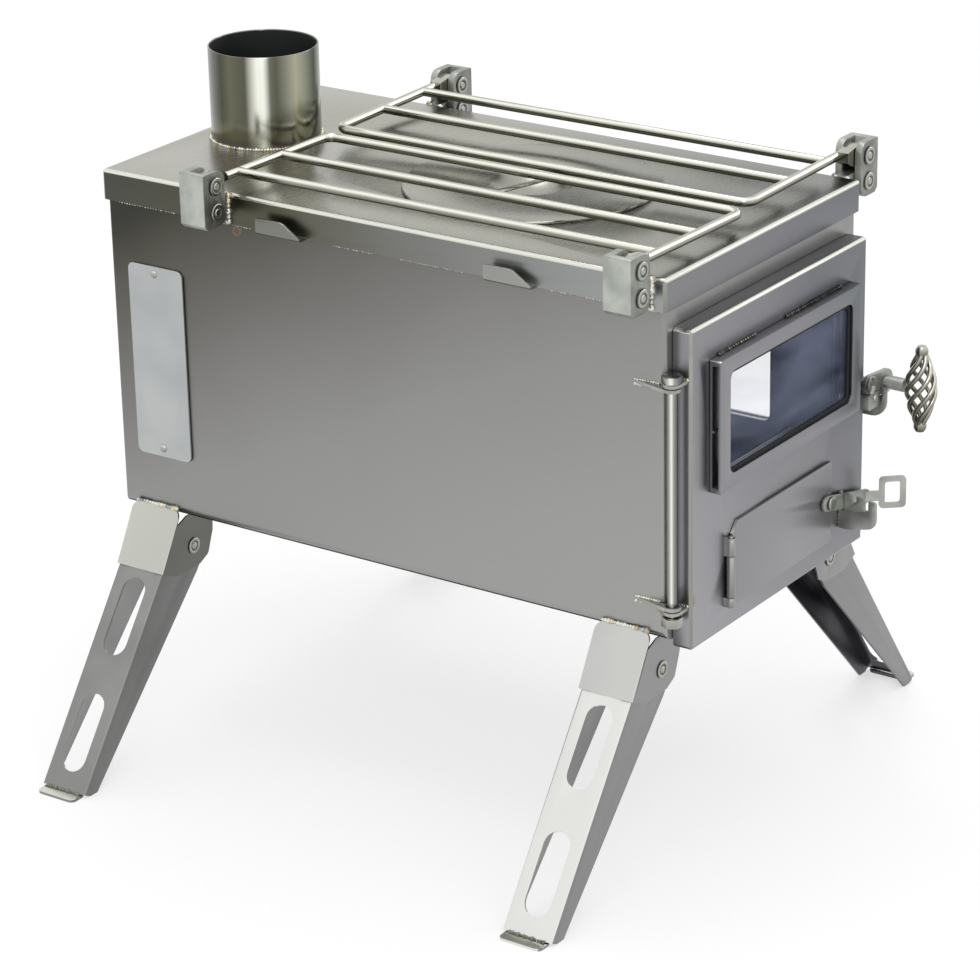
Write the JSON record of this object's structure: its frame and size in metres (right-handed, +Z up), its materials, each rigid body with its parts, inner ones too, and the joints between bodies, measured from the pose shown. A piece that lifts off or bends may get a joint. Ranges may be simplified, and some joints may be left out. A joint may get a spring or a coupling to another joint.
{
  "type": "tent_wood_stove",
  "caption": "Stainless tent wood stove with a glazed door, folding legs, fold-out side racks, a round cook plate and a rear flue collar.",
  "frame": {"origin": "centre of the bounding box's footprint, on the ground under the feet", "axes": "+Z up, the door faces -Y, +Y is the rear with the flue collar, -X is the wall with the bare plate"},
  "size_m": [0.4138, 0.4264, 0.4025],
  "materials": {
    "brushed_stainless": "brushed stainless sheet, lightly heat tinted",
    "polished_stainless": "polished stainless rod and tube",
    "cast_steel": "matte investment cast stainless",
    "satin_aluminium": "satin anodised plate",
    "dark_glass": "clear heat resistant glass, dark against the firebox",
    "black_gasket": "black glass fibre gasket",
    "sooty_steel": "sooty steel inside the firebox"
  },
  "bodies": {
    "stove": {"firebox": "brushed_stainless", "lid": "brushed_stainless", "flue_collar": "polished_stainless", "cook_plate": "brushed_stainless", "side_plate_bare": "satin_aluminium", "side_window_frame": "brushed_stainless", "side_window_glass": "dark_glass", "rack_lug_right_front": "cast_steel", "rack_lug_right_rear": "cast_steel", "rack_lug_left_front": "cast_steel", "rack_lug_left_rear": "cast_steel", "link_pin_lower_right_front": "polished_stainless", "link_pin_lower_right_rear": "polished_stainless", "link_pin_lower_left_front": "polished_stainless", "link_pin_lower_left_rear": "polished_stainless", "hinge_ear_body_upper": "brushed_stainless", "hinge_ear_body_lower": "brushed_stainless", "latch_catch": "cast_steel", "leg_bracket_right_front": "brushed_stainless", "leg_bracket_right_rear": "brushed_stainless", "leg_bracket_left_front": "brushed_stainless", "leg_bracket_left_rear": "brushed_stainless", "leg_pin_right_front": "polished_stainless", "leg_pin_right_rear": "polished_stainless", "leg_pin_left_front": "polished_stainless", "leg_pin_left_rear": "polished_stainless", "grate": "sooty_steel", "flame_baffle": "sooty_steel"},
    "door": {"door_pan": "brushed_stainless", "door_window_frame": "brushed_stainless", "door_window_gasket": "black_gasket", "door_window_glass": "dark_glass", "hinge_ear_door_upper": "brushed_stainless", "hinge_ear_door_lower": "brushed_stainless", "hinge_bolt": "polished_stainless", "hinge_nut": "polished_stainless", "air_flap_pin": "polished_stainless", "flap_latch_keeper": "cast_steel", "latch_pivot": "polished_stainless", "latch_guide": "cast_steel"},
    "latch_handle": {"latch_arm": "cast_steel", "latch_grip": "polished_stainless"},
    "air_flap": {"air_flap": "brushed_stainless", "flap_latch_rivet": "polished_stainless"},
    "flap_latch": {"flap_latch_arm": "cast_steel"},
    "link_right": {"rack_link_right_front": "cast_steel", "rack_link_right_rear": "cast_steel", "link_pin_upper_right_front": "polished_stainless", "link_pin_upper_right_rear": "polished_stainless"},
    "rack_right": {"rack_right": "polished_stainless"},
    "link_left": {"rack_link_left_front": "cast_steel", "rack_link_left_rear": "cast_steel", "link_pin_upper_left_front": "polished_stainless", "link_pin_upper_left_rear": "polished_stainless"},
    "rack_left": {"rack_left": "polished_stainless"},
    "leg_right_front": {"leg_right_front": "brushed_stainless"},
    "leg_right_rear": {"leg_right_rear": "brushed_stainless"},
    "leg_left_front": {"leg_left_front": "brushed_stainless"},
    "leg_left_rear": {"leg_left_rear": "brushed_stainless"}
  },
  "joints": [
    {"name": "door_swing", "type": "hinge", "parent": "stove", "child": "door", "pos_m": [-0.101, -0.16882, 0.22165], "axis": [0, 0, -1], "range_deg": [0, 120]},
    {"name": "door_latch_lift", "type": "hinge", "parent": "door", "child": "latch_handle", "pos_m": [0.0885, -0.18022, 0.23315], "axis": [0, -1, 0], "range_deg": [0, 40]},
    {"name": "air_flap_swing", "type": "hinge", "parent": "door", "child": "air_flap", "pos_m": [-0.0568, -0.17852, 0.17065], "axis": [0, 0, -1], "range_deg": [0, 90]},
    {"name": "flap_latch_lift", "type": "hinge", "parent": "air_flap", "child": "flap_latch", "pos_m": [0.05, -0.17872, 0.17405], "axis": [0, -1, 0], "range_deg": [0, 60]},
    {"name": "link_swing_right", "type": "hinge", "parent": "stove", "child": "link_right", "pos_m": [0.118, -0.01382, 0.34185], "axis": [0, 1, 0], "range_deg": [0, 90]},
    {"name": "rack_fold_right", "type": "hinge", "parent": "link_right", "child": "rack_right", "pos_m": [0.118, -0.01382, 0.35675], "axis": [0, 1, 0], "range_deg": [0, 90]},
    {"name": "link_swing_left", "type": "hinge", "parent": "stove", "child": "link_left", "pos_m": [-0.118, -0.01382, 0.34185], "axis": [0, -1, 0], "range_deg": [0, 90]},
    {"name": "rack_fold_left", "type": "hinge", "parent": "link_left", "child": "rack_left", "pos_m": [-0.118, -0.01382, 0.35675], "axis": [0, -1, 0], "range_deg": [0, 90]},
    {"name": "leg_fold_right_front", "type": "hinge", "parent": "stove", "child": "leg_right_front", "pos_m": [0.091, -0.13852, 0.12105], "axis": [0, 1, 0], "range_deg": [0, 135.5]},
    {"name": "leg_fold_right_rear", "type": "hinge", "parent": "stove", "child": "leg_right_rear", "pos_m": [0.091, 0.18608, 0.12105], "axis": [0, 1, 0], "range_deg": [0, 135.5]},
    {"name": "leg_fold_left_front", "type": "hinge", "parent": "stove", "child": "leg_left_front", "pos_m": [-0.091, -0.13852, 0.12105], "axis": [0, -1, 0], "range_deg": [0, 116]},
    {"name": "leg_fold_left_rear", "type": "hinge", "parent": "stove", "child": "leg_left_rear", "pos_m": [-0.091, 0.18608, 0.12105], "axis": [0, -1, 0], "range_deg": [0, 116]}
  ]
}
